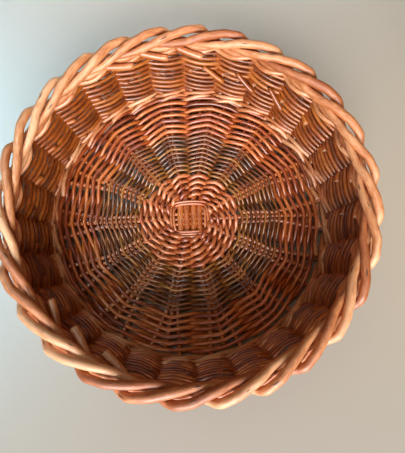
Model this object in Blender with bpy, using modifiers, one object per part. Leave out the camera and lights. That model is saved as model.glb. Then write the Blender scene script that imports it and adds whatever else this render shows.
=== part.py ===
"""Round willow winnowing basket, worked in stake-and-strand.

Seven bottom sticks make a cross: four are split in the middle and three are pushed through them.
The base is paired outwards from that cross.  Twenty-eight stakes lie beside the arms of the
cross, turn up at the corner and carry the side, and their ends are worked down into the border.
Each stick and each stake is its own solid.  Each woven band is one closed ring, with holes for the
sticks and stakes that it holds.

Metres, +Z up.  The origin is on the floor, at the centre of the base.  One arm lies along +X.
"""

import math

import bmesh
import bpy

# ---- driving dimensions -------------------------------------------------------------------

GAP = 0.0003                 # left between pieces that touch
STAKES = 28                  # side stakes, two for each arm of the cross
ARMS = 14                    # arms of the cross, two for each bottom stick
STAKE_D = 0.0056             # stake rod
THROUGH_D = 0.0056           # through bottom stick
PIERCED_D = 0.0070           # pierced bottom stick at the cross
PIERCED_END_D = 0.0058       # pierced bottom stick at its ends
THROUGH_PITCH = 0.0062       # through sticks, side by side
PIERCED_PITCH = 0.0080       # pierced sticks, side by side

STICK_REACH = 0.1570         # the arms are cut off here
FAN_START = 0.0150           # the arms run straight to here
FAN_END = 0.0550             # and are radial from here
BASE_EDGE = 0.1590           # outer edge of the base
BASE_Z = 0.0085              # middle of the base at its edge, above the floor
DOME = 0.0040                # rise of the base from its edge to its centre

TIE_OUTER = 0.0210           # half width of the square of weaving that ties the cross
ZONE_OLIVE = 0.0620          # where the olive pairing starts
ZONE_OUTER = 0.1160          # where the outer pairing starts

STAKE_BUTT = 0.0640          # the stakes' lower ends
STAKE_BESIDE = 0.0059        # middle of a stake to the middle of the arm beside it
STAKE_OPEN = 0.1100          # the stakes start to open out here
BEND_R = 0.0100              # prick-up bend
CORNER_R = 0.1755            # middle of the stakes at the foot of the side
CORNER_Z = 0.0165            # foot of the side weaving
SET_Z = 0.0547               # where the second set of side weavers starts
WALE_Z = 0.0853              # foot of the top wale
BORDER_Z = 0.0925            # foot of the border
RIM_R = 0.1865               # middle of the stakes at the rim
STAKE_TOP = 0.0985           # the upright part ends inside the border

SIDE_WEAVER_D = 0.0042
WALE_WEAVER_D = 0.0044
BASE_WEAVER_D = 0.0044
TIE_WEAVER_D = 0.0027
ROWS_LOWER = 5
ROWS_UPPER = 4

BORDER_MID_Z = 0.1020
BORDER_HALF_WIDTH = 0.0082
BORDER_HALF_HEIGHT = 0.0092
BORDER_RIDGE = 0.0014        # half the depth of the furrow between two border rods
BORDER_SLANT = 1.4           # stake spaces that a border rod takes from its outer to its inner side
BORDER_SPAN = math.radians(150.0)    # and the turn round the border's section that it takes

# ---- clearances, edges and steps ------------------------------------------------------------

TUNNEL_CLEARANCE = 2.6 * GAP    # a rod's tunnel is wider than the rod by this
TUNNEL_LENGTHEN = 2 * GAP       # and longer at each end
SLOT_CLEARANCE = 1.8 * GAP      # over and under the rods in a slot
SLOT_SIDE = 2 * GAP             # and beside them
SLOT_MARGIN = 0.0040            # a slot cutter stands past its band by this
SLIT_CLEARANCE = 1.5 * GAP      # over and under the through sticks
SLIT_FLAT = 0.0010              # the slit's flat part ends this far inside its reach
SLIT_TIP = 0.0035               # and its points lie this far outside
SWELL_FADE = 0.0060             # a pierced stick swells over this length
SWELL_WALL = 0.0029             # wood left over and under the slit
FAN_HANDLE = 0.35               # roundness of the fan's curve
FAN_STATION = 0.1050            # the arms have one more point here
BAND_CHAMFER = 0.0015           # worn edges of the base bands
BAND_START = 0.0040             # the inner band is turned from here, before its window is cut
OLIVE_THINNER = 0.0010          # the fine middle weavers make a thinner band
FURROW = 0.0014                 # depth between two rows of side weaving
UPSETT_TOP = 0.0090             # half the width of the upsett at its top
UPSETT_BULGE = (0.0105, 0.0070)     # widest point: beyond the corner radius, height
UPSETT_FOOT = (0.0055, -0.0080)     # flat foot: its outer and inner edge from the corner radius
UPSETT_INSIDE = (0.0030, 0.0150)    # lower and upper edge beside the base
WELD = 0.00001                  # points nearer than this are one
BORDER_STEPS = 4                # steps of the border ring for each stake
BORDER_SIDES = 10

RING_STEPS = STAKES          # sides of the turned rings, with a corner at each stake
STAKE_TURN = 2 * math.pi / STAKES
ARM_TURN = 2 * math.pi / ARMS

COLOURS = {
    "buff": (0.55, 0.27, 0.12),
    "orange": (0.50, 0.20, 0.08),
    "olive": (0.17, 0.12, 0.06),
    "brown": (0.16, 0.08, 0.045),
    "stick": (0.52, 0.25, 0.11),
    "stake": (0.54, 0.24, 0.10),
    "wale": (0.60, 0.33, 0.17),
    "border": (0.62, 0.29, 0.12),
}


# ---- scene and small helpers --------------------------------------------------------------

def clear_scene():
    for item in list(bpy.data.objects):
        bpy.data.objects.remove(item, do_unlink=True)


def new_collection(name):
    collection = bpy.data.collections.new(name)
    bpy.context.scene.collection.children.link(collection)
    return collection


def give_material(item, colour_name, roughness=0.6):
    material = bpy.data.materials.new(item.name + "_willow")
    material.use_nodes = True
    shader = material.node_tree.nodes["Principled BSDF"]
    shader.inputs["Base Color"].default_value = (*COLOURS[colour_name], 1.0)
    shader.inputs["Roughness"].default_value = roughness
    shader.inputs["Metallic"].default_value = 0.0
    item.data.materials.clear()
    item.data.materials.append(material)


def add_mesh(name, mesh, collection):
    item = bpy.data.objects.new(name, mesh)
    collection.objects.link(item)
    return item


def mark_as_cutter(item):
    item.hide_render = True
    item.display_type = "WIRE"


def polar(radius, angle, z):
    return (radius * math.cos(angle), radius * math.sin(angle), z)


def base_mid_z(radius):
    """Height of the middle of the domed base at a radius."""
    return BASE_Z + DOME * (1.0 - (radius / BASE_EDGE) ** 2)


def stake_mid_r(z):
    """Radius of the stakes' middle line on the flared side."""
    return CORNER_R + (RIM_R - CORNER_R) * (z - CORNER_Z) / (WALE_Z - CORNER_Z)


def rod(name, points, diameter, collection, end_diameter=None):
    """A willow rod: a curve through the points, with capped ends, made into a mesh."""
    curve = bpy.data.curves.new(name, "CURVE")
    curve.dimensions = "3D"
    curve.bevel_depth = diameter / 2
    curve.bevel_resolution = 1
    curve.use_fill_caps = True
    spline = curve.splines.new("POLY")
    spline.points.add(len(points) - 1)
    middle = (len(points) - 1) / 2
    for index, point in enumerate(points):
        spline.points[index].co = (*point, 1.0)
        if end_diameter is not None:
            share = abs(index - middle) / middle
            spline.points[index].radius = 1.0 + (end_diameter / diameter - 1.0) * share
    guide = bpy.data.objects.new(name + "_guide", curve)
    collection.objects.link(guide)
    bpy.context.view_layer.update()
    graph = bpy.context.evaluated_depsgraph_get()
    mesh = bpy.data.meshes.new_from_object(guide.evaluated_get(graph))
    bpy.data.objects.remove(guide, do_unlink=True)
    weld(mesh)
    mesh.name = name
    mesh.shade_smooth()
    return add_mesh(name, mesh, collection)


def weld(mesh):
    work = bmesh.new()
    work.from_mesh(mesh)
    bmesh.ops.remove_doubles(work, verts=work.verts, dist=WELD)
    work.to_mesh(mesh)
    work.free()


def join_meshes(name, items, collection):
    """One cutter object out of several that don't touch each other."""
    work = bmesh.new()
    for item in items:
        work.from_mesh(item.data)
        bpy.data.objects.remove(item, do_unlink=True)
    mesh = bpy.data.meshes.new(name)
    work.to_mesh(mesh)
    work.free()
    cutter = add_mesh(name, mesh, collection)
    mark_as_cutter(cutter)
    return cutter


def box(name, half_x, half_y, half_z, collection):
    """A block round the middle of the base."""
    work = bmesh.new()
    bmesh.ops.create_cube(work, size=2.0)
    bmesh.ops.scale(work, verts=work.verts, vec=(half_x, half_y, half_z))
    bmesh.ops.translate(work, verts=work.verts, vec=(0.0, 0.0, base_mid_z(0.0)))
    mesh = bpy.data.meshes.new(name)
    work.to_mesh(mesh)
    work.free()
    return add_mesh(name, mesh, collection)


def turned_ring(name, profile, collection):
    """A closed profile, outer side first from top to bottom, turned about Z."""
    mesh = bpy.data.meshes.new(name)
    corners = [(radius, 0.0, z) for radius, z in profile]
    edges = [(index, (index + 1) % len(corners)) for index in range(len(corners))]
    mesh.from_pydata(corners, edges, [])
    item = add_mesh(name, mesh, collection)
    screw = item.modifiers.new("Turn", "SCREW")
    screw.angle = 2 * math.pi
    screw.steps = RING_STEPS
    screw.render_steps = RING_STEPS
    screw.use_merge_vertices = True
    screw.merge_threshold = WELD
    screw.use_smooth_shade = False
    item.rotation_euler.z = STAKE_TURN / 2
    return item


def cut(item, cutter):
    boolean = item.modifiers.new("Holes_" + cutter.name, "BOOLEAN")
    boolean.operation = "DIFFERENCE"
    boolean.solver = "EXACT"
    boolean.object = cutter


# ---- routes of the sticks and stakes ------------------------------------------------------

def bezier(start, start_handle, end_handle, end, share):
    rest = 1.0 - share
    weights = (rest ** 3, 3 * rest ** 2 * share, 3 * rest * share ** 2, share ** 3)
    corners = (start, start_handle, end_handle, end)
    return tuple(sum(w * c[axis] for w, c in zip(weights, corners)) for axis in range(2))


def arm_route(offset, angle):
    """Plan of one arm: it leaves the cross at a sideways offset, along +X, and fans out."""
    start = (FAN_START, offset)
    end = (FAN_END * math.cos(angle), FAN_END * math.sin(angle))
    handle = FAN_HANDLE * math.hypot(end[0] - start[0], end[1] - start[1])
    start_handle = (start[0] + handle, start[1])
    end_handle = (end[0] - handle * math.cos(angle), end[1] - handle * math.sin(angle))
    shares = (0.0, 0.2, 0.4, 0.6, 0.8, 1.0)
    fan = [bezier(start, start_handle, end_handle, end, share) for share in shares]
    stations = (FAN_STATION, STICK_REACH)
    straight = [(reach * math.cos(angle), reach * math.sin(angle)) for reach in stations]
    return fan + straight


def stick_route(offset, angle, inner_steps):
    """Both arms of a stick that lies along X, through the steps between them, on the domed base."""
    right = arm_route(offset, angle)
    left = [(-x, y) for x, y in reversed(right)]
    plan = left + [(step, offset) for step in inner_steps] + right
    return [(x, y, base_mid_z(math.hypot(x, y))) for x, y in plan]


def turned_quarter(points):
    """Turns a route about Z by 90 degrees."""
    return [(-y, x, z) for x, y, z in points]


def upright_points():
    """Radius and height of the middle line of a stake, from the start of its bend to its top."""
    bend_centre_r = CORNER_R - BEND_R
    bend_centre_z = BASE_Z + BEND_R
    lean = math.atan2(RIM_R - CORNER_R, WALE_Z - CORNER_Z)
    points = []
    for share in (0.0, 0.33, 0.67, 1.0):
        turn = share * (math.pi / 2 - lean)
        radius = bend_centre_r + BEND_R * math.sin(turn)
        points.append((radius, bend_centre_z - BEND_R * math.cos(turn)))
    points.append((stake_mid_r(SET_Z), SET_Z))
    points.append((stake_mid_r(STAKE_TOP), STAKE_TOP))
    return points


def stake_route(number, lengthen=0.0):
    """Middle line of a stake: beside an arm, opening out, up round the corner and up the side."""
    arm = (number + 1) // 2
    side = -1.0 if number % 2 else 1.0
    arm_angle = arm * ARM_TURN
    own_angle = arm_angle + side * STAKE_TURN / 2
    across = (-math.sin(arm_angle), math.cos(arm_angle))
    along = (math.cos(arm_angle), math.sin(arm_angle))
    points = []
    for reach in (STAKE_BUTT - lengthen, STAKE_OPEN):
        x = reach * along[0] + side * STAKE_BESIDE * across[0]
        y = reach * along[1] + side * STAKE_BESIDE * across[1]
        points.append((x, y, base_mid_z(reach)))
    upright = upright_points()
    upright[-1] = (upright[-1][0], upright[-1][1] + lengthen)
    points.extend(polar(radius, own_angle, z) for radius, z in upright)
    return points


# ---- the pieces ---------------------------------------------------------------------------

def make_through_sticks(parts, cutters):
    """Three plain sticks along X, and the tunnels that they need in the weaving."""
    tunnels = []
    for number, row in enumerate((-1, 0, 1)):
        angle = row * ARM_TURN
        route = stick_route(row * THROUGH_PITCH, angle, (0.0,))
        stick = rod("through_stick_%d" % (number + 1), route, THROUGH_D, parts)
        give_material(stick, "stick")
        tunnels.append(rod("tunnel", route, THROUGH_D + TUNNEL_CLEARANCE, cutters))
    return tunnels


def swell(item, reach, half_height, half_width):
    """Swells the split middle of a stick that lies along Y, where other sticks pass through it."""
    for vertex in item.data.vertices:
        beyond = max(0.0, abs(vertex.co.y) - reach)
        share = max(0.0, 1.0 - beyond / SWELL_FADE)
        middle = base_mid_z(abs(vertex.co.y))
        growth = 1.0 + (half_height / half_width - 1.0) * share
        vertex.co.z = middle + (vertex.co.z - middle) * growth


def make_slit(name, reach, cutters):
    """Lens-shaped hole along X, through all the pierced sticks."""
    half_height = THROUGH_D / 2 + SLIT_CLEARANCE
    middle = base_mid_z(0.0)
    flat = reach - SLIT_FLAT
    tip = reach + SLIT_TIP
    outline = [(-tip, 0.0), (-flat, -half_height), (flat, -half_height),
               (tip, 0.0), (flat, half_height), (-flat, half_height)]
    work = bmesh.new()
    half_length = 2.5 * PIERCED_PITCH
    corners = [work.verts.new((-half_length, y, middle + z)) for y, z in outline]
    face = work.faces.new(corners)
    grown = bmesh.ops.extrude_face_region(work, geom=[face])
    moved = [part for part in grown["geom"] if isinstance(part, bmesh.types.BMVert)]
    bmesh.ops.translate(work, verts=moved, vec=(2 * half_length, 0.0, 0.0))
    bmesh.ops.recalc_face_normals(work, faces=work.faces)
    mesh = bpy.data.meshes.new(name)
    work.to_mesh(mesh)
    work.free()
    slit = add_mesh(name, mesh, cutters)
    mark_as_cutter(slit)
    return slit


def make_pierced_sticks(parts, cutters):
    """Four sticks along Y, slit in the middle, and the tunnels that they need in the weaving."""
    reach = THROUGH_PITCH + THROUGH_D / 2 + GAP
    slit = make_slit("slit", reach, cutters)
    tunnels = []
    for number, column in enumerate((-1.5, -0.5, 0.5, 1.5)):
        angle = column * ARM_TURN
        inner = (-reach - SLIT_FLAT, -reach / 2, reach / 2, reach + SLIT_FLAT)
        route = turned_quarter(stick_route(column * PIERCED_PITCH, angle, inner))
        stick = rod("pierced_stick_%d" % (number + 1), route, PIERCED_D, parts, PIERCED_END_D)
        swell(stick, reach, THROUGH_D / 2 + SWELL_WALL, PIERCED_D / 2)
        cut(stick, slit)
        give_material(stick, "stick")
        tunnels.append(rod("tunnel", route, PIERCED_D + TUNNEL_CLEARANCE, cutters,
                           PIERCED_END_D + TUNNEL_CLEARANCE))
    return tunnels


def make_stakes(parts, cutters):
    """Twenty-eight stakes, and the tunnels that they need in the weaving."""
    tunnels = []
    for number in range(STAKES):
        stake = rod("stake_%02d" % (number + 1), stake_route(number), STAKE_D, parts)
        give_material(stake, "stake")
        longer = stake_route(number, TUNNEL_LENGTHEN)
        tunnels.append(rod("tunnel", longer, STAKE_D + TUNNEL_CLEARANCE, cutters))
    return tunnels


def make_slot(name, start, end, cutters):
    """Radial slots for an arm and the two stakes beside it, one for each arm of the cross."""
    bend_start = CORNER_R - BEND_R
    bend_across = bend_start * math.sin(STAKE_TURN / 2)
    bend_along = bend_start * math.cos(STAKE_TURN / 2)
    spread = (bend_across - STAKE_BESIDE) / (bend_along - STAKE_OPEN)
    half_height = STAKE_D / 2 + SLOT_CLEARANCE
    slots = []
    for arm in range(ARMS):
        work = bmesh.new()
        bmesh.ops.create_cube(work, size=1.0)
        for vertex in work.verts:
            reach = start if vertex.co.x < 0 else end
            opened = spread * max(0.0, reach - STAKE_OPEN)
            half_width = STAKE_BESIDE + opened + STAKE_D / 2 + SLOT_SIDE
            across = half_width if vertex.co.y > 0 else -half_width
            rise = half_height if vertex.co.z > 0 else -half_height
            angle = arm * ARM_TURN
            x = reach * math.cos(angle) - across * math.sin(angle)
            y = reach * math.sin(angle) + across * math.cos(angle)
            vertex.co = (x, y, base_mid_z(reach) + rise)
        mesh = bpy.data.meshes.new("slot")
        work.to_mesh(mesh)
        work.free()
        slots.append(add_mesh("slot", mesh, cutters))
    return join_meshes(name, slots, cutters)


def make_tie(parts, cutters, arm_tunnels):
    """The square of fine pairing that ties the cross."""
    half_height = PIERCED_D / 2 + TIE_WEAVER_D
    window_x = 2 * PIERCED_PITCH + 2 * GAP
    window_y = TIE_OUTER - 2 * TIE_WEAVER_D
    tie = box("slath_tie", TIE_OUTER, TIE_OUTER, half_height, parts)
    window = box("tie_window", window_x, window_y, 2 * half_height, cutters)
    mark_as_cutter(window)
    cut(tie, window)
    cut(tie, arm_tunnels)
    give_material(tie, "buff")


def band_profile(start, end, half_thickness):
    """Section of a ring of base weaving with rounded edges, on the domed base."""
    chamfer = BAND_CHAMFER
    stations = (end - chamfer, (start + end) / 2, start + chamfer)
    outer = [(end, base_mid_z(end) + half_thickness - chamfer),
             (end, base_mid_z(end) - half_thickness + chamfer)]
    under = [(reach, base_mid_z(reach) - half_thickness) for reach in stations]
    inner = [(start, base_mid_z(start) - half_thickness + chamfer),
             (start, base_mid_z(start) + half_thickness - chamfer)]
    over = [(reach, base_mid_z(reach) + half_thickness) for reach in reversed(stations)]
    return outer + under + inner + over


def make_base_bands(parts, cutters, arm_tunnels):
    """Three rings of pairing, one round the other."""
    half_thickness = STAKE_D / 2 + BASE_WEAVER_D

    inner = turned_ring("base_pairing_inner",
                        band_profile(BAND_START, ZONE_OLIVE - GAP, half_thickness), parts)
    window = box("base_window", TIE_OUTER + GAP, TIE_OUTER + GAP, 2 * half_thickness, cutters)
    mark_as_cutter(window)
    cut(inner, window)
    cut(inner, arm_tunnels)
    give_material(inner, "buff")

    profile = band_profile(ZONE_OLIVE, ZONE_OUTER - GAP, half_thickness - OLIVE_THINNER)
    olive = turned_ring("base_pairing_middle", profile, parts)
    slots = make_slot("middle_slots", ZONE_OLIVE - SLOT_MARGIN, ZONE_OUTER + SLOT_MARGIN, cutters)
    cut(olive, slots)
    give_material(olive, "olive")

    outer = turned_ring("base_pairing_outer",
                        band_profile(ZONE_OUTER, BASE_EDGE, half_thickness), parts)
    slots = make_slot("outer_slots", ZONE_OUTER - SLOT_MARGIN, BASE_EDGE + SLOT_MARGIN, cutters)
    cut(outer, slots)
    give_material(outer, "orange")


def make_upsett(parts, stake_tunnels):
    """Two rounds of three-rod wale at the corner.  The basket stands on its flat underside."""
    profile = [
        (stake_mid_r(CORNER_Z) + UPSETT_TOP, CORNER_Z - GAP),
        (CORNER_R + UPSETT_BULGE[0], UPSETT_BULGE[1]),
        (CORNER_R + UPSETT_FOOT[0], 0.0),
        (CORNER_R + UPSETT_FOOT[1], 0.0),
        (BASE_EDGE + GAP, UPSETT_INSIDE[0]),
        (BASE_EDGE + GAP, UPSETT_INSIDE[1]),
        (stake_mid_r(CORNER_Z) - UPSETT_TOP, CORNER_Z - GAP),
    ]
    upsett = turned_ring("upsett_wale", profile, parts)
    cut(upsett, stake_tunnels)
    give_material(upsett, "wale")


def wall_profile(foot, head, rows, half_thickness):
    """Section of a ring of side weaving: one crest for each row, inside and out."""
    pitch = (head - foot) / rows
    levels = []
    for row in range(rows):
        levels.append((foot + row * pitch, half_thickness - FURROW))
        levels.append((foot + (row + 0.5) * pitch, half_thickness))
    levels.append((head, half_thickness - FURROW))
    outer = [(stake_mid_r(z) + half, z) for z, half in reversed(levels)]
    inner = [(stake_mid_r(z) - half, z) for z, half in levels]
    return outer + inner


def make_side(parts, stake_tunnels):
    """Two sets of side weavers and the wale on top of them."""
    side_half = STAKE_D / 2 + SIDE_WEAVER_D
    wale_half = STAKE_D / 2 + WALE_WEAVER_D
    bands = (
        ("side_weave_lower", CORNER_Z, SET_Z - GAP, ROWS_LOWER, side_half, "brown"),
        ("side_weave_upper", SET_Z, WALE_Z - GAP, ROWS_UPPER, side_half, "brown"),
        ("top_wale", WALE_Z, BORDER_Z - GAP, 1, wale_half, "wale"),
    )
    for name, foot, head, rows, half, colour in bands:
        band = turned_ring(name, wall_profile(foot, head, rows, half), parts)
        cut(band, stake_tunnels)
        give_material(band, colour)


def make_border(parts, stake_tunnels):
    """The stake ends worked round the rim: a ring of slanting rods, one for each stake."""
    bpy.ops.mesh.primitive_torus_add(major_segments=BORDER_STEPS * STAKES,
                                     minor_segments=BORDER_SIDES,
                                     major_radius=RIM_R, minor_radius=BORDER_HALF_WIDTH / 2)
    border = bpy.context.object
    border.name = "border"
    for vertex in border.data.vertices:
        angle = math.atan2(vertex.co.y, vertex.co.x)
        section = math.atan2(vertex.co.z, math.hypot(vertex.co.x, vertex.co.y) - RIM_R)
        slant = BORDER_SLANT * section / BORDER_SPAN
        phase = angle / STAKE_TURN - slant
        furrow = BORDER_RIDGE * (1.0 - 2.0 * math.sqrt(abs(math.cos(math.pi * phase))))
        across = (BORDER_HALF_WIDTH - furrow) * math.cos(section)
        rise = (BORDER_HALF_HEIGHT - furrow) * math.sin(section)
        z = max(BORDER_MID_Z + rise, BORDER_Z)
        vertex.co = polar(RIM_R + across, angle, z)
    bpy.context.collection.objects.unlink(border)
    parts.objects.link(border)
    border.data.shade_smooth()
    cut(border, stake_tunnels)
    give_material(border, "border")


def main():
    clear_scene()
    parts = new_collection("winnowing_basket")
    cutters = new_collection("cutters")
    arm_tunnels = make_through_sticks(parts, cutters) + make_pierced_sticks(parts, cutters)
    arm_tunnels = join_meshes("arm_tunnels", arm_tunnels, cutters)
    stake_tunnels = join_meshes("stake_tunnels", make_stakes(parts, cutters), cutters)
    make_tie(parts, cutters, arm_tunnels)
    make_base_bands(parts, cutters, arm_tunnels)
    make_upsett(parts, stake_tunnels)
    make_side(parts, stake_tunnels)
    make_border(parts, stake_tunnels)


main()
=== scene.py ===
"""Looks of the willow winnowing basket.  Every rod is a swept, tapered tube with bark, knots and cut
ends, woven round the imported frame: metres, +Z up, origin on the floor at the centre of the base."""

import math
import random

import bpy
import numpy as np
from mathutils import Matrix, Vector


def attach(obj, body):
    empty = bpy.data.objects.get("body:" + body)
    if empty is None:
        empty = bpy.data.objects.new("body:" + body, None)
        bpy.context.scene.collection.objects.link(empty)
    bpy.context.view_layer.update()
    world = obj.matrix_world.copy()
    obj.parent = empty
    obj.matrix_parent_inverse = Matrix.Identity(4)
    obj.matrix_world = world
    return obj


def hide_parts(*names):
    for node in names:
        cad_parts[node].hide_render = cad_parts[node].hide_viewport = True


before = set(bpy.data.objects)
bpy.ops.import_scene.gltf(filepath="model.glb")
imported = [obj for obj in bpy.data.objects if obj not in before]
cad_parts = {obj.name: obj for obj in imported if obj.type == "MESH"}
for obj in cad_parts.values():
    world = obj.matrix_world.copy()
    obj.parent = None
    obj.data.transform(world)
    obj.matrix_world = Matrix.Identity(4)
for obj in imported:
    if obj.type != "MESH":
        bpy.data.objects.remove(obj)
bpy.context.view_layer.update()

# ---- dimensions shared with the CAD ---------------------------------------------------------
STAKES = 28
ARMS = 14
STAKE_TURN = 2 * math.pi / STAKES
ARM_TURN = 2 * math.pi / ARMS
STAKE_D = 0.0056
THROUGH_D = 0.0056
PIERCED_D = 0.0070
PIERCED_END_D = 0.0058
THROUGH_PITCH = 0.0062
PIERCED_PITCH = 0.0080
STICK_REACH = 0.1570
FAN_START = 0.0150
FAN_END = 0.0550
BASE_EDGE = 0.1590
BASE_Z = 0.0085
DOME = 0.0040
TIE_OUTER = 0.0210
ZONE_OLIVE = 0.0620
ZONE_OUTER = 0.1160
STAKE_BUTT = 0.0640
STAKE_BESIDE = 0.0059
STAKE_OPEN = 0.1100
BEND_R = 0.0100
CORNER_R = 0.1755
CORNER_Z = 0.0165
SET_Z = 0.0547
WALE_Z = 0.0853
BORDER_Z = 0.0925
RIM_R = 0.1865

# ---- rods as woven --------------------------------------------------------------------------
INNER_ROD = 0.0045          # thickness of the weavers in the three zones of the base
MIDDLE_ROD = 0.0031
OUTER_ROD = 0.0045
TIE_ROD = 0.0030
UPSETT_ROD = 0.0056
SIDE_ROD = 0.0045
WALE_ROD = 0.0056
BORDER_ROD = 0.0088
INNER_ARMS = 64             # arms passed by each zone's spiral: about 4.5, 9 and 6 rounds
MIDDLE_ARMS = 126
OUTER_ARMS = 88
LOWER_ROWS = 5
UPPER_ROWS = 4
HALF = 0.5                  # stake_01 stands half a spacing past the arm on +X
PHOTO_TURN = math.radians(2.5)   # the view is turned by this from the arm on +X

# ---- meshes of the rods ---------------------------------------------------------------------
SIDES = 8                   # of a thin rod's section
THICK_SIDES = 12            # of a thick rod's section
STEP = 0.0034               # along a rod, between rings of its mesh
OVERLAP_STEPS = 3           # by which a new rod begins before the last one ends
LEAST_RINGS = 6             # a rod needs more rings than this
DRIFT_WAVES = ((1.0, 0.55), (1.9, 0.3), (3.7, 0.15))   # waves in one length, share of the drift
SWELL = 0.045               # share by which a rod's thickness wanders, and over what length
SWELL_WAVE = 0.16
CROOK = 0.00035             # by which a rod's line wanders, and over what length
CROOK_WAVE = 0.11
CROOK_FADE = 0.01           # the line wanders less than this near to a rod's ends
STRAIGHT = 0.0002           # crook of the rods that are held straight
GRAIN_SHIFT = 9             # most that a rod's bark is moved along the noise
BEVEL_RISE = 0.10           # the bevel round a cut end, in radii
BEVEL_FACE = 0.80
END_BULGE = 0.00005         # the middle of a cut end stands out by this
REFERENCE = [0.31, 0.22, 0.93]   # any direction that no rod starts along
SEEDS = {                   # pieces of which there are several add their number to this
    "through_stick": 100,
    "pierced_stick": 120,
    "base_pairing_inner": 201,
    "base_pairing_middle": 202,
    "base_pairing_outer": 203,
    "slath_tie": 204,
    "stake": 300,
    "upsett_wale": 401,
    "top_wale": 402,
    "side_weave_lower": 501,
    "side_weave_upper": 502,
    "border": 600,
}


def base_mid_z(r):
    """Height of the sticks' middles on the dome of the base."""
    return BASE_Z + DOME * (1 - (r / BASE_EDGE) ** 2)


def stake_mid_r(z):
    """Radius of the stakes' middles at this height on the side."""
    return CORNER_R + (RIM_R - CORNER_R) * (z - CORNER_Z) / (WALE_Z - CORNER_Z)


LEAN = math.atan2(RIM_R - CORNER_R, WALE_Z - CORNER_Z)
BEND_START = CORNER_R - BEND_R
BEND_CENTRE_Z = BASE_Z + BEND_R
BEND_TURN = math.pi / 2 - LEAN


def section(s):
    """The stakes' line in (r, z) and its outward normal; s runs from the start of the corner's bend."""
    if s < 0:
        r = BEND_START + s
        return r, base_mid_z(r) if r < BASE_EDGE else BASE_Z, 0.0, -1.0
    turn = min(s / BEND_R, BEND_TURN)
    r = BEND_START + BEND_R * math.sin(turn)
    z = BEND_CENTRE_Z - BEND_R * math.cos(turn)
    rest = s - BEND_R * turn
    r += rest * math.cos(turn)
    z += rest * math.sin(turn)
    return r, z, math.sin(turn), -math.cos(turn)


def section_at_z(z):
    """Length along the stakes' line where it reaches this height on the side."""
    top = BEND_CENTRE_Z - BEND_R * math.cos(BEND_TURN)
    return BEND_R * BEND_TURN + (z - top) / math.sin(BEND_TURN)


# ---- rods -----------------------------------------------------------------------------------
def drift(rng, lengths, wave, amount):
    """Smooth wandering along a rod, as the sum of three waves."""
    total = np.zeros(len(lengths))
    for k, share in DRIFT_WAVES:
        total += share * np.sin(2 * math.pi * lengths * k / wave + rng.uniform(0, 2 * math.pi))
    return total * amount


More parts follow.
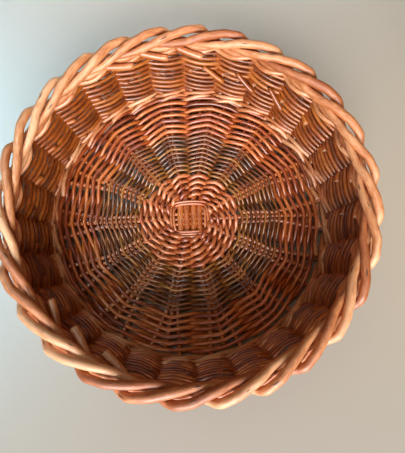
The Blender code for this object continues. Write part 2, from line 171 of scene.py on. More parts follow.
class Rods:
    """The rods of one piece, gathered into one mesh."""

    def __init__(self, kind, number=0):
        self.rng = random.Random(SEEDS[kind] + number)
        self.vertices, self.quads, self.caps = [], [], []
        self.tone, self.cut, self.grain = [], [], []
        self.count = 0

    def add(self, points, radii, tone=None, crook=CROOK, sides=SIDES, dark_end=0.0):
        """A rod along these points.

        radii is one number, or one for each point; crook is how far its line wanders, and dark_end
        darkens the middle of its cut ends.
        """
        rng = self.rng
        path = np.asarray(points, float)
        n = len(path)
        radii = np.broadcast_to(np.asarray(radii, float), (n,)).copy()
        steps = np.linalg.norm(np.diff(path, axis=0), axis=1)
        lengths = np.concatenate([[0], np.cumsum(steps)])
        start = rng.uniform(0, GRAIN_SHIFT)
        radii *= 1 + drift(rng, lengths, SWELL_WAVE, SWELL)
        side_noise = np.stack([drift(rng, lengths, CROOK_WAVE, crook) for _ in range(3)], 1)
        fade = np.clip(np.minimum(lengths, lengths[-1] - lengths) / CROOK_FADE, 0, 1)
        path = path + side_noise * fade[:, None]
        tangent = np.gradient(path, axis=0)
        tangent /= np.linalg.norm(tangent, axis=1)[:, None]
        across = np.cross(tangent[0], REFERENCE)
        across /= np.linalg.norm(across)
        frames = np.empty((n, 2, 3))
        for i in range(n):
            across = across - tangent[i] * (across @ tangent[i])
            across /= np.linalg.norm(across)
            frames[i, 0] = across
            frames[i, 1] = np.cross(tangent[i], across)
        angle = np.arange(sides) * 2 * math.pi / sides
        circle = np.stack([np.cos(angle), np.sin(angle)], 1)
        first, last = radii[0], radii[-1]
        head = path[0] - tangent[0] * first * BEVEL_RISE
        tail = path[-1] + tangent[-1] * last * BEVEL_RISE
        rings = [       # centre, axes, radius, length along the rod, 1 where the rod is cut
            (head, frames[0], first * BEVEL_FACE, -first * BEVEL_RISE, 1.0),
            *[(path[i], frames[i], radii[i], lengths[i], 0.0) for i in range(n)],
            (tail, frames[-1], last * BEVEL_FACE, lengths[-1] + last * BEVEL_RISE, 1.0),
        ]
        base = self.count
        tone = rng.random() if tone is None else tone
        for centre, axes, radius, along, cut in rings:
            self.vertices.append(centre + radius * (circle @ axes))
            self.cut += [cut] * sides
            self.grain.append(np.column_stack([np.full(sides, start + along), circle * radius]))
        m = len(rings)
        self.tone += [tone] * (m * sides + 2)
        index = base + np.arange(m * sides).reshape(m, sides)
        ahead = np.roll(index, -1, axis=1)
        self.quads.append(
            np.stack([index[:-1], ahead[:-1], ahead[1:], index[1:]], -1).reshape(-1, 4)
        )
        for ring, sign in ((0, -1), (m - 1, 1)):
            centre = rings[ring][0] + tangent[0 if sign < 0 else -1] * sign * END_BULGE
            self.vertices.append(centre[None])
            self.cut.append(1.0 + dark_end)
            self.grain.append(np.array([[start + rings[ring][3], 0, 0]]))
            middle = base + m * sides + (0 if sign < 0 else 1)
            fan = np.stack([index[ring], np.roll(index[ring], -1), np.full(sides, middle)], -1)
            self.caps.append(fan[:, ::-1] if sign < 0 else fan)
        self.count = base + m * sides + 2

    def build(self, name, slot, nodes):
        """One object of all the rods, riding on the root in place of these CAD nodes."""
        quads = np.concatenate(self.quads)
        caps = np.concatenate(self.caps)
        corners = np.concatenate([quads.ravel(), caps.ravel()])
        smooth = np.concatenate([np.ones(len(quads), bool), np.zeros(len(caps), bool)])
        mesh = bpy.data.meshes.new(name)
        mesh.vertices.add(self.count)
        mesh.vertices.foreach_set("co", np.concatenate(self.vertices).astype(np.float32).ravel())
        mesh.loops.add(len(corners))
        mesh.loops.foreach_set("vertex_index", corners.astype(np.int32))
        mesh.polygons.add(len(quads) + len(caps))
        starts = np.concatenate(
            [np.arange(len(quads)) * 4, quads.size + np.arange(len(caps)) * 3]
        )
        mesh.polygons.foreach_set("loop_start", starts.astype(np.int32))
        mesh.update(calc_edges=True)
        mesh.polygons.foreach_set("use_smooth", smooth)
        for label, values in (("rod_tone", self.tone), ("rod_cut", self.cut)):
            layer = mesh.attributes.new(label, "FLOAT", "POINT")
            layer.data.foreach_set("value", np.asarray(values, np.float32))
        layer = mesh.attributes.new("rod_grain", "FLOAT_VECTOR", "POINT")
        layer.data.foreach_set("vector", np.concatenate(self.grain).astype(np.float32).ravel())
        mesh.validate()
        mesh.materials.append(WILLOW[slot])
        piece = bpy.data.objects.new(name, mesh)
        bpy.context.scene.collection.objects.link(piece)
        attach(piece, "root")
        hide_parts(*nodes)


def smooth_path(controls, step=STEP):
    """Points along a uniform Catmull-Rom curve through the controls."""
    c = np.asarray(controls, float)
    c = np.vstack([2 * c[0] - c[1], c, 2 * c[-1] - c[-2]])
    found = []
    for i in range(1, len(c) - 2):
        p0, p1, p2, p3 = c[i - 1], c[i], c[i + 1], c[i + 2]
        count = max(1, int(round(np.linalg.norm(p2 - p1) / step)))
        t = (np.arange(count) / count)[:, None]
        found.append(
            0.5 * (2 * p1 + (p2 - p0) * t + (2 * p0 - 5 * p1 + 4 * p2 - p3) * t**2
                   + (3 * p1 - p0 - 3 * p2 + p3) * t**3)
        )
    found.append(c[-2][None])
    return np.vstack(found)


def around(angle, r, z):
    return (r * math.cos(angle), r * math.sin(angle), z)


# ---- materials ------------------------------------------------------------------------------
# scale of each pattern along and across a rod, per metre
BLOTCH_SCALE = (28.0, 90.0)
PATCH_SCALE = (120.0, 420.0)
FINE_SCALE = (140.0, 1900.0)
RING_SCALE = (900.0, 220.0)
KNOT_SCALE = (34.0, 190.0)
BLOTCH_TONE = 1.5           # how far each pattern moves the tone of a rod
PATCH_TONE = 1.6
STREAK_FROM = 0.42          # fine noise above this is a dark streak
STREAK_STEEP = 2.2
STREAK_DARK = 0.45          # share of the darkest bark's colour
KNOT_SIZE = 0.17            # bud knots, in cells of their pattern
KNOT_STEEP = 14.0
KNOT_RANDOM = 0.9
KNOT_DARK = 0.16
KNOT_HEIGHT = 1.4
CUT_FROM = 0.35             # "rod_cut" above this is bare wood, and above 1 it is darker towards the middle of the end
CUT_STEEP = 4.0
DARK_END_STEEP = 1.6
CUT_WOOD = (0.42, 0.235, 0.115)
# dark colour mixed into the middle of a cut end where rod_cut is above 1, on the border rods only
DARK_END_WOOD = (0.05, 0.022, 0.011)
GLOSS_VARIES = 0.26
CUT_ROUGHER = 0.3
FINE_HEIGHT = 0.6
RING_HEIGHT = 0.4
BUMP_STRENGTH = 0.45
BUMP_DEPTH = 0.0004


def willow(name, dark, mid, light, rough=0.42, spots=0.6, streak=0.6, sheen=0.95):
    """Willow bark: tone by rod, streaks and mottling along it, bud knots, pale cut ends."""
    mat = bpy.data.materials.new(name)
    mat.use_nodes = True
    tree = mat.node_tree
    tree.nodes.clear()

    def node(kind, **values):
        made = tree.nodes.new(kind)
        for key, value in values.items():
            setattr(made, key, value)
        return made

    def link(a, b):
        tree.links.new(a, b)

    def math_node(operation, a, b, clamp=False):
        made = node("ShaderNodeMath", operation=operation, use_clamp=clamp)
        for socket, value in zip(made.inputs, (a, b)):
            if isinstance(value, (int, float)):
                socket.default_value = value
            else:
                link(value, socket)
        return made.outputs[0]

    def mix(factor, a, b):
        made = node("ShaderNodeMix", data_type="RGBA")
        for socket, value in ((made.inputs[0], factor), (made.inputs[6], a), (made.inputs[7], b)):
            if isinstance(value, tuple):
                socket.default_value = (*value, 1.0)
            else:
                link(value, socket)
        return made.outputs[2]

    def above(value, level, steep):
        """How far the value is above this level, times steep, from 0 to 1."""
        return math_node("MULTIPLY", math_node("SUBTRACT", value, level, True), steep, True)

    def swing(value, amount):
        """A noise turned to go both ways from 0."""
        return math_node("MULTIPLY", math_node("SUBTRACT", value, 0.5), amount)

    def stretched(scale):
        along, across = scale
        mapping = node("ShaderNodeMapping")
        mapping.inputs["Scale"].default_value = (along, across, across)
        link(grain.outputs["Vector"], mapping.inputs["Vector"])
        return mapping.outputs[0]

    def noise(scale, detail, roughness=0.55):
        made = node("ShaderNodeTexNoise")
        made.inputs["Scale"].default_value = 1.0
        made.inputs["Detail"].default_value = detail
        made.inputs["Roughness"].default_value = roughness
        link(stretched(scale), made.inputs["Vector"])
        return made.outputs["Fac"]

    grain = node("ShaderNodeAttribute", attribute_name="rod_grain")
    tone = node("ShaderNodeAttribute", attribute_name="rod_tone").outputs["Fac"]
    cut = node("ShaderNodeAttribute", attribute_name="rod_cut").outputs["Fac"]
    blotch = noise(BLOTCH_SCALE, detail=3.0)
    patch = noise(PATCH_SCALE, detail=3.0, roughness=0.6)
    fine = noise(FINE_SCALE, detail=4.0, roughness=0.65)
    rings = noise(RING_SCALE, detail=2.0)

    ramp = node("ShaderNodeValToRGB")
    ramp.color_ramp.elements[0].position = 0.0
    ramp.color_ramp.elements[0].color = (*dark, 1)
    ramp.color_ramp.elements[1].position = 1.0
    ramp.color_ramp.elements[1].color = (*light, 1)
    middle = ramp.color_ramp.elements.new(0.5)
    middle.color = (*mid, 1)
    wander = math_node("ADD", swing(blotch, BLOTCH_TONE), swing(patch, PATCH_TONE))
    link(math_node("ADD", tone, wander, True), ramp.inputs[0])

    streaks = above(fine, STREAK_FROM, streak * STREAK_STEEP)
    colour = mix(streaks, ramp.outputs[0], tuple(c * STREAK_DARK for c in dark))

    knots = node("ShaderNodeTexVoronoi", feature="F1", distance="EUCLIDEAN")
    knots.inputs["Scale"].default_value = 1.0
    knots.inputs["Randomness"].default_value = KNOT_RANDOM
    link(stretched(KNOT_SCALE), knots.inputs["Vector"])
    near = above(KNOT_SIZE, knots.outputs["Distance"], KNOT_STEEP)
    knot = math_node("MULTIPLY", near, spots, True)
    colour = mix(knot, colour, tuple(c * KNOT_DARK for c in dark))

    is_cut = above(cut, CUT_FROM, CUT_STEEP)
    # the middle of a cut end is darkened where rod_cut is above 1
    wood = mix(above(cut, 1.0, DARK_END_STEEP), CUT_WOOD, DARK_END_WOOD)
    colour = mix(is_cut, colour, wood)

    shader = node("ShaderNodeBsdfPrincipled")
    link(colour, shader.inputs["Base Color"])
    gloss = math_node("MULTIPLY", blotch, GLOSS_VARIES)
    gloss = math_node("ADD", gloss, rough - GLOSS_VARIES / 2, True)
    gloss = math_node("ADD", gloss, math_node("MULTIPLY", is_cut, CUT_ROUGHER), True)
    link(gloss, shader.inputs["Roughness"])
    shader.inputs["Specular IOR Level"].default_value = sheen
    fine_height = math_node("MULTIPLY", fine, FINE_HEIGHT)
    height = math_node("ADD", fine_height, math_node("MULTIPLY", rings, RING_HEIGHT))
    height = math_node("ADD", height, math_node("MULTIPLY", near, KNOT_HEIGHT))
    bump = node("ShaderNodeBump")
    bump.inputs["Strength"].default_value = BUMP_STRENGTH
    bump.inputs["Distance"].default_value = BUMP_DEPTH
    link(height, bump.inputs["Height"])
    link(bump.outputs[0], shader.inputs["Normal"])
    output = node("ShaderNodeOutputMaterial")
    link(shader.outputs[0], output.inputs["Surface"])
    return mat


BARKS = {                    # darkest, middle and lightest bark, and how it differs from the usual
    "stick": ((0.40, 0.080, 0.010), (0.60, 0.145, 0.024), (0.76, 0.26, 0.070), {"sheen": 0.6}),
    "stake": ((0.34, 0.060, 0.008), (0.52, 0.115, 0.020), (0.68, 0.21, 0.055), {}),
    "buff": ((0.30, 0.046, 0.005), (0.56, 0.108, 0.018), (0.76, 0.24, 0.070), {}),
    "olive": ((0.09, 0.024, 0.002), (0.28, 0.063, 0.004), (0.42, 0.16, 0.020), {"sheen": 0.75}),
    "orange": ((0.21, 0.030, 0.002), (0.48, 0.082, 0.004), (0.68, 0.18, 0.028), {"sheen": 0.75}),
    "brown": ((0.15, 0.027, 0.001), (0.38, 0.080, 0.003), (0.58, 0.180, 0.022), {"sheen": 0.6}),
    "wale": ((0.50, 0.14, 0.030), (0.72, 0.26, 0.080), (0.86, 0.46, 0.22), {"rough": 0.5}),
    "border": ((0.42, 0.110, 0.022), (0.66, 0.235, 0.074), (0.84, 0.42, 0.20),
               {"rough": 0.58, "spots": 0.9, "streak": 0.45, "sheen": 0.75}),
}
WILLOW = {
    slot: willow("willow_" + slot, dark, mid, light, **changes)
    for slot, (dark, mid, light, changes) in BARKS.items()
}


# ---- bottom sticks --------------------------------------------------------------------------
CURVE_PULL = 0.35            # of the arms' curve out of the cross, as a share of its length
CURVE_POINTS = 12
ARM_POINTS = 24
THROUGH_ROWS = (-1, 0, 1)
PIERCED_COLUMNS = (-1.5, -0.5, 0.5, 1.5)
THROUGH_SLIM = 0.0019        # radius of a through stick inside the slits
THROUGH_AT = (0, 0.016, 0.022)
THROUGH_RADII = (THROUGH_SLIM, THROUGH_SLIM, THROUGH_D / 2)
PIERCED_AT = (0, 0.021, 0.034, STICK_REACH)
PIERCED_RADII = (PIERCED_PITCH / 2, PIERCED_PITCH / 2, PIERCED_D / 2, PIERCED_END_D / 2)
STICK_TONES = (0.3, 0.7)


def arm_route(offset, angle):
    """Half of a stick: straight out of the cross, then a curve on to its own radial line."""
    outwards = np.array([math.cos(angle), math.sin(angle)])
    start = np.array([FAN_START, offset])
    end = FAN_END * outwards
    reach = CURVE_PULL * np.linalg.norm(end - start)
    a = start + [reach, 0]
    b = end - reach * outwards
    found = [np.array([0.0, offset])]
    for t in np.linspace(0, 1, CURVE_POINTS):
        u = 1 - t
        found.append(u**3 * start + 3 * u**2 * t * a + 3 * u * t * t * b + t**3 * end)
    for r in np.linspace(FAN_END, STICK_REACH, ARM_POINTS)[1:]:
        found.append(r * outwards)
    return np.array(found)


def stick_points(offset, angle):
    """A whole stick along X: the same arm to both sides, on the dome of the base."""
    east = arm_route(offset, angle)
    west = east[:0:-1] * [-1, 1]
    flat = np.vstack([west, east])
    r = np.hypot(flat[:, 0], flat[:, 1])
    return np.column_stack([flat, base_mid_z(r)])


def add_stick(kind, number, points, radii_at, radii):
    """A stick as a piece of its own, with these radii at these distances from the middle."""
    rods = Rods(kind, number)
    r = np.hypot(points[:, 0], points[:, 1])
    tone = rods.rng.uniform(*STICK_TONES)
    rods.add(points, np.interp(r, radii_at, radii), tone=tone, crook=STRAIGHT)
    name = f"{kind}_{number}"
    rods.build(f"{name}_rod", "stick", [name])


def make_sticks():
    for number, row in enumerate(THROUGH_ROWS, 1):
        points = stick_points(row * THROUGH_PITCH, row * ARM_TURN)
        add_stick("through_stick", number, points, THROUGH_AT, THROUGH_RADII)
    for number, column in enumerate(PIERCED_COLUMNS, 1):
        points = stick_points(column * PIERCED_PITCH, column * ARM_TURN)
        points = np.column_stack([-points[:, 1], points[:, 0], points[:, 2]])
        add_stick("pierced_stick", number, points, PIERCED_AT, PIERCED_RADII)


# ---- base pairing ---------------------------------------------------------------------------
def beside(r):
    """Half of the width that the arm's rods take at this radius."""
    if r < STAKE_BUTT:
        return THROUGH_D / 2
    if r < STAKE_OPEN:
        return STAKE_BESIDE + STAKE_D / 2
    end = BEND_START * math.sin(STAKE_TURN / 2)
    opened = (r - STAKE_OPEN) / (BEND_START - STAKE_OPEN)
    return STAKE_BESIDE + (end - STAKE_BESIDE) * opened + STAKE_D / 2


SAG = 1.5                    # how far a row is pulled in between two arms, in chords
SAG_LOST = 1.1               # and by how much less at the edge, where the upsett holds it
SAG_FULL_R = 0.135
SAG_ROUNDING = 0.0016        # rounds the row's bend over an arm, in arms squared
PAIR_SPREAD = (0.97, 1.05)   # thickness of the weavers
FLAT_SHARE = 0.36            # most of the spacing over which a weaver lies flat on an arm


def clamped(x):
    return min(max(x, 0), 1)


def pull_in(row_r):
    """The rows are pulled in less near the edge, where the upsett holds them."""
    return SAG - SAG_LOST * clamped((row_r - SAG_FULL_R) / (BASE_EDGE - SAG_FULL_R))


def sawtooth(x):
    """From -1 to 1 over the stroke on top, at even x, and back over the stroke beneath."""
    x = (x + 0.5) % 2.0
    return 2 * x - 1 if x < 1 else 3 - 2 * x


def pairing(rods, first_r, last_r, total, rod_d, lift, lengths, start=0.0, taper=0.10, slant=0.48):
    """Two weavers paired clockwise outwards, in rods of these lengths.

    They pass total arms from the arm numbered start on. lift is how far their middles pass above and
    below the sticks, taper how much thicker than its middle a butt is, and slant how far a stroke
    lies across the row, in thicknesses.
    """
    rng = rods.rng
    chord = math.cos(ARM_TURN / 2)
    for weaver in (0, 1):
        u = -weaver * 1.0
        while u < total:
            length = rng.uniform(*lengths)
            points, sizes = [], []
            gone = 0.0
            butt = rng.uniform(*PAIR_SPREAD) * rod_d / 2
            while gone < length and u < total:
                row_r = first_r + (last_r - first_r) * clamped(u / total)
                spacing = row_r * ARM_TURN
                nearest = round(u)
                away = abs(u - nearest) * spacing
                flat = min(beside(row_r), FLAT_SHARE * spacing)
                slope = clamped((away - flat) / (spacing / 2 - flat))
                sign = 1 if (nearest + weaver) % 2 == 0 else -1
                height = sign * math.cos(slope * math.pi / 2) * lift
                side = rod_d * slant * sawtooth(u + weaver)
                bow = math.sqrt((u - nearest) ** 2 + SAG_ROUNDING) * ARM_TURN
                bow = min(bow, ARM_TURN / 2)
                sag = pull_in(row_r) * (1 - chord / math.cos(ARM_TURN / 2 - bow))
                r = row_r * (1 - sag) + side
                angle = -(u + start) * ARM_TURN
                points.append(around(angle, r, base_mid_z(r) + height))
                sizes.append(butt * (1 + taper - 2 * taper * gone / length))
                u += STEP / spacing
                gone += STEP
            if len(points) > LEAST_RINGS:
                rods.add(points, sizes)
            if u < total:
                u -= OVERLAP_STEPS * STEP / spacing


ZONE_STEP = 0.0010           # a zone begins this far outside the last one
TIE_GAP = 0.0050             # from the tie to the first row of pairing
EDGE_ROW = 0.0056            # the last row lies this far past the base's edge


def make_base():
    inner = Rods("base_pairing_inner")
    pairing(inner, TIE_OUTER + TIE_GAP, ZONE_OLIVE, INNER_ARMS, INNER_ROD,
            lift=0.0060, lengths=(0.35, 0.6), taper=0.2, slant=0.62)
    inner.build("base_pairing_inner_rods", "buff", ["base_pairing_inner"])
    middle = Rods("base_pairing_middle")
    pairing(middle, ZONE_OLIVE + ZONE_STEP, ZONE_OUTER, MIDDLE_ARMS, MIDDLE_ROD,
            lift=0.0045, lengths=(0.55, 0.95), start=INNER_ARMS)
    middle.build("base_pairing_middle_rods", "olive", ["base_pairing_middle"])
    outer = Rods("base_pairing_outer")
    pairing(outer, ZONE_OUTER + ZONE_STEP, BASE_EDGE + EDGE_ROW, OUTER_ARMS, OUTER_ROD,
            lift=0.0051, lengths=(0.6, 1.1), start=INNER_ARMS + MIDDLE_ARMS)
    outer.build("base_pairing_outer_rods", "orange", ["base_pairing_outer"])


# ---- tie of the cross -----------------------------------------------------------------------
TIE_TURNS = 2.5
TIE_STEPS = 14               # points along each side of the square
TIE_LONG = 0.0172            # half sizes of the square, over the through and the pierced sticks
TIE_SHORT = 0.0145
TIE_GROWTH = 0.0030          # of the square, in one turn
TIE_CORNER = 0.75            # share of a side after which the corner is rounded
TIE_ROUND = 0.45
TIE_LIFT = 0.0045
TIE_SWAY = 0.0012            # a weaver leaves the middle of its row by this
TIE_POINT_STEP = 0.0030


def make_tie():
    """Fine pairing round the cross, over and under its four groups of sticks."""
    rods = Rods("slath_tie")
    for weaver in (0, 1):
        points = []
        for i in range(int(TIE_TURNS * 4 * TIE_STEPS) + 1):
            u = i / TIE_STEPS                # one for each side of the square
            grow = TIE_GROWTH * (u / 4.0)
            number = math.floor(u)
            side = number % 4
            half, along = TIE_LONG + grow, TIE_SHORT + grow
            if side % 2:
                half, along = along, half
            local = (u - number) * 2 - 1
            x, y = half, -local * along      # clockwise round the square
            if abs(local) > TIE_CORNER:
                x -= (abs(local) - TIE_CORNER) * half * TIE_ROUND
            turn = -side * math.pi / 2
            px = x * math.cos(turn) - y * math.sin(turn)
            py = x * math.sin(turn) + y * math.cos(turn)
            sign = 1 if (number + weaver) % 2 == 0 else -1
            lift = sign * math.cos(local * math.pi / 2) ** 0.5 * TIE_LIFT
            r = math.hypot(px, py)
            shift = 1 + TIE_SWAY * math.sin(math.pi * (u + weaver)) / half
            points.append((px * shift, py * shift, base_mid_z(r) + lift))
        rods.add(smooth_path(points, TIE_POINT_STEP), TIE_ROD / 2)
    rods.build("slath_tie_rods", "buff", ["slath_tie"])


# ---- stakes ---------------------------------------------------------------------------------
STAKE_STATIONS = (STAKE_BUTT, 0.080, 0.095, STAKE_OPEN)     # radii, while beside its arm
BEND_SHARES = (0.0, 0.2, 0.4, 0.6, 0.8, 1.0)
STAKE_HEIGHTS = (0.035, SET_Z, 0.072, BORDER_Z + 0.001)     # up the side


def make_stakes():
    for number in range(STAKES):
        rods = Rods("stake", number)
        arm = (number + 1) // 2
        side = -1 if number % 2 else 1
        arm_angle = arm * ARM_TURN
        own = arm_angle + side * STAKE_TURN / 2
        out = np.array([math.cos(arm_angle), math.sin(arm_angle)])
        across = np.array([-out[1], out[0]])
        controls = []
        for reach in STAKE_STATIONS:
            spot = out * reach + across * side * STAKE_BESIDE
            controls.append((spot[0], spot[1], base_mid_z(reach)))
        for share in BEND_SHARES:
            r, z, _, _ = section(share * BEND_R * BEND_TURN)
            controls.append(around(own, r, z))
        for z in STAKE_HEIGHTS:
            controls.append(around(own, stake_mid_r(z), z))
        rods.add(smooth_path(controls), STAKE_D / 2, crook=STRAIGHT)
        name = f"stake_{number + 1:02d}"
        rods.build(f"{name}_rod", "stake", [name])


# ---- wales ----------------------------------------------------------------------------------
WALE_SPREAD = (0.98, 1.06)   # thickness of the rods
WALE_BUTT = 1.06             # and of their butts
WALE_TAPER = 0.12
WALE_CROSS = 0.57            # how far a stroke lies across the row, in thicknesses
WALE_SWELL = 0.30            # an outer stroke stands out over the rod beneath, in thicknesses,
WALE_SWELL_AT = 1.1          # most of all here, in stakes, and over this many
WALE_SWELL_OVER = 1.4


def wale(rods, first_s, pitch, rows, rod_d, reach, inside, lengths, floor=None):
    """Three-rod wale: each rod passes outside two stakes and inside one.

    first_s is the first row's place on the stakes' line, and pitch the rise in one row. reach and
    inside are how far the rods pass outside and inside that line, and floor is their lowest height.
    """
    rng = rods.rng
    total = rows * STAKES
    stride = RIM_R * STAKE_TURN
    for weaver in range(3):
        v = -float(weaver)
        while v < total:
            length = rng.uniform(*lengths)
            gone, points, sizes = 0.0, [], []
            butt = rng.uniform(*WALE_SPREAD) * rod_d / 2
            while gone < length and v < total + 1:
                x = (v + weaver) % 3.0       # 0 inside a stake, 1 and 2 outside the next two
                if x > 2.5:
                    x -= 3.0
                s = first_s + pitch * v / STAKES
                if x < 0.5:
                    out = -math.cos(math.pi * x) * inside
                    lift = -math.sin(math.pi * x) * WALE_CROSS * rod_d
                else:
                    edge = min(abs(x - 0.5), abs(2.5 - x), 0.5) / 0.5
                    out = math.sin(edge * math.pi / 2) * reach
                    crest = math.cos((x - WALE_SWELL_AT) * math.pi / WALE_SWELL_OVER)
                    out += WALE_SWELL * rod_d * max(0.0, crest)
                    lift = -math.cos(math.pi * (x - 0.5) / 2) * WALE_CROSS * rod_d
                r, z, nr, nz = section(s + lift)
                r += nr * out
                z += nz * out
                if floor is not None:
                    z = max(z, floor)
                points.append(around((v + HALF) * STAKE_TURN, r, z))
                sizes.append(butt * (WALE_BUTT - WALE_TAPER * gone / length))
                v += STEP / stride
                gone += STEP
            if len(points) > LEAST_RINGS:
                rods.add(points, sizes)
            v -= OVERLAP_STEPS * STEP / stride


BUTTS = 3                    # in one group
BUTT_SPREAD = 0.02           # radians by which a butt's place is off
BUTT_SHARES = (0.0, 0.25, 0.5, 0.75, 1.0)
BUTT_CURVE = 1.5             # a butt stands away from the weave late in its run
BUTT_TAPER = 0.40            # radius where it goes in, as a share of its thickness
BUTT_CROOK = 0.0003


def butts(rods, first, turn_by, foot, head, thick):
    """Cut butts left inside, the first at this many degrees.

    Each runs from (r, z) at its cut end to (r, z) where it goes in, turn_by radians further on.
    """
    rng = rods.rng
    for number in range(BUTTS):
        angle = math.radians(first) - number * STAKE_TURN + rng.uniform(-BUTT_SPREAD, BUTT_SPREAD)
        points = []
        for share in BUTT_SHARES:
            r = foot[0] + (head[0] - foot[0]) * share**BUTT_CURVE
            z = foot[1] + (head[1] - foot[1]) * share
            points.append(around(angle + turn_by * share, r, z))
        points = smooth_path(points)
        radii = np.linspace(thick / 2, thick * BUTT_TAPER, len(points))
        rods.add(points, radii, crook=BUTT_CROOK, sides=THICK_SIDES)


UPSETT_START = -0.0030       # on the stakes' line
UPSETT_PITCH = 0.0092
UPSETT_FLOOR = 0.0034
TOP_WALE_Z = (WALE_Z + BORDER_Z) / 2 - 0.002
TOP_WALE_PITCH = 0.0030


def make_wales():
    upsett = Rods("upsett_wale")
    wale(upsett, UPSETT_START, UPSETT_PITCH, 2, UPSETT_ROD,
         reach=0.0054, inside=0.0064, lengths=(0.7, 1.2), floor=UPSETT_FLOOR)
    upsett.build("upsett_wale_rods", "wale", ["upsett_wale"])
    top = Rods("top_wale")
    wale(top, section_at_z(TOP_WALE_Z), TOP_WALE_PITCH, 1, WALE_ROD,
         reach=0.0050, inside=0.0086, lengths=(0.5, 0.62))
    butts(top, 109, turn_by=0.17, foot=(0.1722, 0.0885), head=(0.1812, 0.0935), thick=0.0078)
    butts(top, 238, turn_by=0.19, foot=(0.1700, 0.0880), head=(0.1830, 0.0935), thick=0.0084)
    top.build("top_wale_rods", "wale", ["top_wale"])


# ---- side: French randing -------------------------------------------------------------------
RAND_START = -0.75           # a weaver's butt lies this many stakes before its own stake,
RAND_END = 0.45              # and its tip this many past the last
RAND_TOP = WALE_Z + 0.0012   # of the upper set
RAND_SPREAD = (0.95, 1.12)   # thickness of the weavers
RAND_BUTT = 1.08             # and of their butts
RAND_TAPER = 0.24
RAND_TONE = (0.42, 0.2)      # mean and spread
RAND_DARKEST = 0.02
RAND_FOOT = 0.0008           # below this height over the foot, a weaver's start is flattened
RAND_FLATTEN = 0.35
RAND_OVER = 0.0005           # most that a tip goes over the top
RAND_GAP = 0.0002            # between a weaver and a stake
RAND_SQUARE = 0.8            # below 1, a weaver lies along a stake for longer
STUB_FROM = 0.3              # stakes before its own at which a butt turns in, and over how many
STUB_TURN = 0.45
STUB_FLARE = 120             # a butt is thicker by this share for each metre that it stands in
STUB_FADE = 2.5


def rand(rods, foot_z, top_z, rows, rod_d, stub):
    """One weaver beside each stake, all rising together: outside one stake, inside the next.

    stub is how far their butts stand in from the row.
    """
    rng = rods.rng
    pitch = (top_z - foot_z) / rows
    first, last = RAND_START, 2 * rows + RAND_END
    low = foot_z + RAND_FOOT
    beside_stake = rod_d / 2 + STAKE_D / 2 + RAND_GAP
    for number in range(STAKES):
        butt = rng.uniform(*RAND_SPREAD) * rod_d / 2
        tone = min(max(rng.gauss(*RAND_TONE), RAND_DARKEST), 1.0)
        points, sizes = [], []
        q = first
        while q <= last:
            z = foot_z + pitch * q / 2
            if z < low:
                z = low + (z - low) * RAND_FLATTEN
            z = min(z, top_z + RAND_OVER)
            r, z, nr, nz = section(section_at_z(z))
            out = math.cos(math.pi * q)
            out = math.copysign(abs(out) ** RAND_SQUARE, out) * beside_stake
            if q < -STUB_FROM:
                out -= stub * min((-STUB_FROM - q) / STUB_TURN, 1)
            points.append(around((q + number + HALF) * STAKE_TURN, r + nr * out, z + nz * out))
            thinner = RAND_TAPER * (q - first) / (last - first)
            flare = stub * STUB_FLARE * math.exp(-(q - first) * STUB_FADE)
            sizes.append(butt * (RAND_BUTT - thinner + flare))
            q += STEP / (RIM_R * STAKE_TURN)
        rods.add(points, sizes, tone=tone)


def make_side():
    lower = Rods("side_weave_lower")
    rand(lower, CORNER_Z, SET_Z, LOWER_ROWS, SIDE_ROD, stub=0.0005)
    lower.build("side_weave_lower_rods", "brown", ["side_weave_lower"])
    upper = Rods("side_weave_upper")
    rand(upper, SET_Z, RAND_TOP, UPPER_ROWS, SIDE_ROD, stub=0.0024)
    butts(upper, 73, turn_by=0.15, foot=(0.1690, 0.0500), head=(0.1755, 0.0640), thick=0.0062)
    upper.build("side_weave_upper_rods", "brown", ["side_weave_upper"])


# ---- border ---------------------------------------------------------------------------------
# One rod: stakes passed, radius, height.  It comes up, goes behind one stake, in front of two and
# behind one, and is cut.
BORDER_RUN = (
    (0.00, 0.1862, 0.0885),
    (0.00, 0.1868, 0.0965),
    (0.50, 0.1838, 0.0985),
    (0.92, 0.1798, 0.0962),
    (1.20, 0.1810, 0.0942),
    (1.55, 0.1885, 0.0948),
    (1.86, 0.1945, 0.0985),
    (2.02, 0.1956, 0.1045),
    (2.42, 0.1912, 0.1083),
    (2.98, 0.1832, 0.1083),
    (3.36, 0.1792, 0.1050),
    (3.80, 0.1790, 0.1020),
    (4.20, 0.1822, 0.1000),
    (4.55, 0.1885, 0.0965),
    (4.80, 0.1925, 0.0950),
)
BORDER_TAIL_FROM = 4.7       # the points after this many stakes move with the rod's own tail
BORDER_TAIL = (-0.10, 0.25)
BORDER_LOOSE_FROM = 0.5      # after this many stakes the rod strays by this
BORDER_STRAY = 0.0007
BORDER_FRONT = 0.10          # the rods at the front of the photo are thicker by this share
BORDER_SPREAD = 0.05
BORDER_STEP = 0.0016
BORDER_ROUNDING = 6
BORDER_CROOK = 0.0005
BORDER_LENGTH = 5.0          # stakes passed in all, about, for the thickness along the rod
BORDER_AT = (0, 0.4, 1.0, 1.9, 2.2, 3.2, 4.0, BORDER_LENGTH)
BORDER_SHARES = (0.74, 0.76, 0.82, 0.94, 1.0, 1.05, 0.86, 0.70)
BORDER_DARK_END = 0.5       # how far the middle of the cut ends is darkened


def kinked_path(controls, step, rounding):
    """Straight runs between the controls, with the corners rounded."""
    c = np.asarray(controls, float)
    gone = np.concatenate([[0], np.cumsum(np.linalg.norm(np.diff(c, axis=0), axis=1))])
    along = np.linspace(0, gone[-1], int(gone[-1] / step) + 1)
    path = np.stack([np.interp(along, gone, c[:, k]) for k in range(3)], 1)
    for _ in range(rounding):
        path[1:-1] = 0.25 * path[:-2] + 0.5 * path[1:-1] + 0.25 * path[2:]
    return path


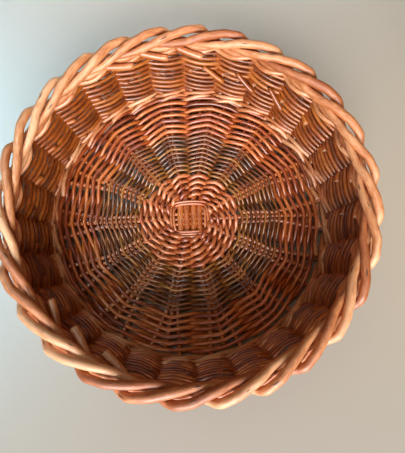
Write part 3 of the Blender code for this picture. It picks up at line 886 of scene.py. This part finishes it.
def make_border():
    for number in range(STAKES):
        rods = Rods("border", number)
        rng = rods.rng
        own = (number + HALF) * STAKE_TURN
        view_angle = own + BORDER_LENGTH / 2 * STAKE_TURN + PHOTO_TURN
        fat = 1.0 + BORDER_FRONT * max(0.0, -math.sin(view_angle))
        fat += rng.uniform(-BORDER_SPREAD, BORDER_SPREAD)
        tail = rng.uniform(*BORDER_TAIL)
        controls = []
        for passed, r, z in BORDER_RUN:
            angle = own + (passed + (tail if passed > BORDER_TAIL_FROM else 0)) * STAKE_TURN
            stray = BORDER_STRAY if passed > BORDER_LOOSE_FROM else 0.0
            r += rng.uniform(-stray, stray)
            z += rng.uniform(-stray, stray)
            controls.append(around(angle, r, z))
        points = kinked_path(controls, BORDER_STEP, BORDER_ROUNDING)
        passed = np.linspace(0, BORDER_LENGTH, len(points))
        radii = np.interp(passed, BORDER_AT, BORDER_SHARES) * fat * BORDER_ROD / 2
        # the border rods' cut ends are darker towards their middle
        rods.add(points, radii, crook=BORDER_CROOK, sides=THICK_SIDES, dark_end=BORDER_DARK_END)
        rods.build(f"border_rod_{number + 1:02d}", "border", ["border"])


# ---- stage ----------------------------------------------------------------------------------
FLOOR_REACH = 4.0
FLOOR_COLOUR = (0.392, 0.366, 0.322, 1)
FLOOR_ROUGH = 0.8
CAMERA_PLACE = (0.0076, -0.0900, 0.4900)
CAMERA_TILT = 9.55           # degrees
CAMERA_ROLL = 0.93
CAMERA_LENS = 30.9
CAMERA_SENSOR = 36.0
CAMERA_CLIP = 0.01
WORLD_COLOUR = (1.0, 0.74, 0.42, 1)
WORLD_STRENGTH = 0.075
MIDDLE = (0, 0, 0.06)        # of the basket, where the windows point
NARROW = 60                  # degrees, for lights that tint the floor and hardly reach the basket

# name, watts, size, place, target, colour, and how it differs from a plain wide light
LIGHTS = (
    ("front_window", 275.0, 2.6, (0.10, -3.2, 2.1), MIDDLE, (0.97, 0.95, 0.93), {}),
    ("front_sheen", 270.0, 1.8, (-0.60, -3.1, 2.3), MIDDLE, (1.0, 0.97, 0.94), {"diffuse": False}),
    ("high_sheen", 3.2, 0.5, (-0.45, 0.62, 1.55), MIDDLE, (0.94, 0.97, 1.0), {"diffuse": False}),
    ("high_window", 2.7, 0.8, (-0.30, 0.40, 1.55), MIDDLE, (1.0, 0.80, 0.55), {"glossy": False}),
    ("left_sky", 2.2, 0.45, (-0.56, 0.12, 0.62), (-0.46, 0.08, 0), (0.38, 0.74, 1.0),
     {"spread": NARROW}),
    ("right_room", 0.40, 0.45, (0.56, 0.0, 0.62), (0.48, -0.02, 0), (1.0, 0.70, 0.42),
     {"spread": NARROW}),
    ("back_sky", 0.80, 0.45, (-0.04, 0.50, 0.64), (-0.02, 0.42, 0), (0.90, 0.95, 1.0),
     {"spread": NARROW}),
)


def make_stage():
    reach = FLOOR_REACH
    corners = [(-reach, -reach, 0), (reach, -reach, 0), (reach, reach, 0), (-reach, reach, 0)]
    mesh = bpy.data.meshes.new("studio_floor")
    mesh.from_pydata(corners, [], [(0, 1, 2, 3)])
    floor = bpy.data.objects.new("studio_floor", mesh)
    bpy.context.scene.collection.objects.link(floor)
    mat = bpy.data.materials.new("studio_floor")
    mat.use_nodes = True
    shader = mat.node_tree.nodes["Principled BSDF"]
    shader.inputs["Base Color"].default_value = FLOOR_COLOUR
    shader.inputs["Roughness"].default_value = FLOOR_ROUGH
    mesh.materials.append(mat)


def make_light(name, energy, size, place, target, colour, spread=180, diffuse=True, glossy=True):
    lamp = bpy.data.lights.new(name, "AREA")
    lamp.shape = "DISK"
    lamp.size = size
    lamp.energy = energy
    lamp.color = colour
    lamp.spread = math.radians(spread)
    ob = bpy.data.objects.new(name, lamp)
    direction = Vector(target) - Vector(place)
    facing = direction.to_track_quat("-Z", "Y").to_matrix().to_4x4()
    ob.matrix_world = Matrix.Translation(place) @ facing
    ob.visible_diffuse = diffuse
    ob.visible_glossy = glossy
    bpy.context.scene.collection.objects.link(ob)


def make_camera():
    """The view is from above, a little towards -Y, tilted back towards the middle."""
    tilt = math.radians(CAMERA_TILT)
    roll = math.radians(CAMERA_ROLL)
    down = math.cos(roll)
    forward = Vector((math.sin(roll), math.sin(tilt) * down, -math.cos(tilt) * down))
    forward.normalize()
    right = forward.cross(Vector((0, 1, 0))).normalized()
    up = right.cross(forward)
    turn = Matrix.Rotation(-PHOTO_TURN, 3, "Z")
    axes = Matrix((turn @ right, turn @ up, turn @ -forward)).transposed()
    data = bpy.data.cameras.new("camera")
    data.lens = CAMERA_LENS
    data.sensor_fit = "AUTO"
    data.sensor_width = CAMERA_SENSOR
    data.clip_start = CAMERA_CLIP
    camera = bpy.data.objects.new("camera", data)
    camera.matrix_world = Matrix.Translation(turn @ Vector(CAMERA_PLACE)) @ axes.to_4x4()
    bpy.context.scene.collection.objects.link(camera)
    bpy.context.scene.camera = camera


def make_lights():
    for name, energy, size, place, target, colour, changes in LIGHTS:
        make_light(name, energy, size, place, target, colour, **changes)
    world = bpy.data.worlds.new("studio")
    world.use_nodes = True
    background = world.node_tree.nodes["Background"]
    background.inputs[0].default_value = WORLD_COLOUR
    background.inputs[1].default_value = WORLD_STRENGTH
    world.cycles_visibility.glossy = False
    bpy.context.scene.world = world
    bpy.context.scene.view_settings.view_transform = "Standard"


make_sticks()
make_tie()
make_base()
make_stakes()
make_wales()
make_side()
make_border()
make_stage()
make_camera()
make_lights()
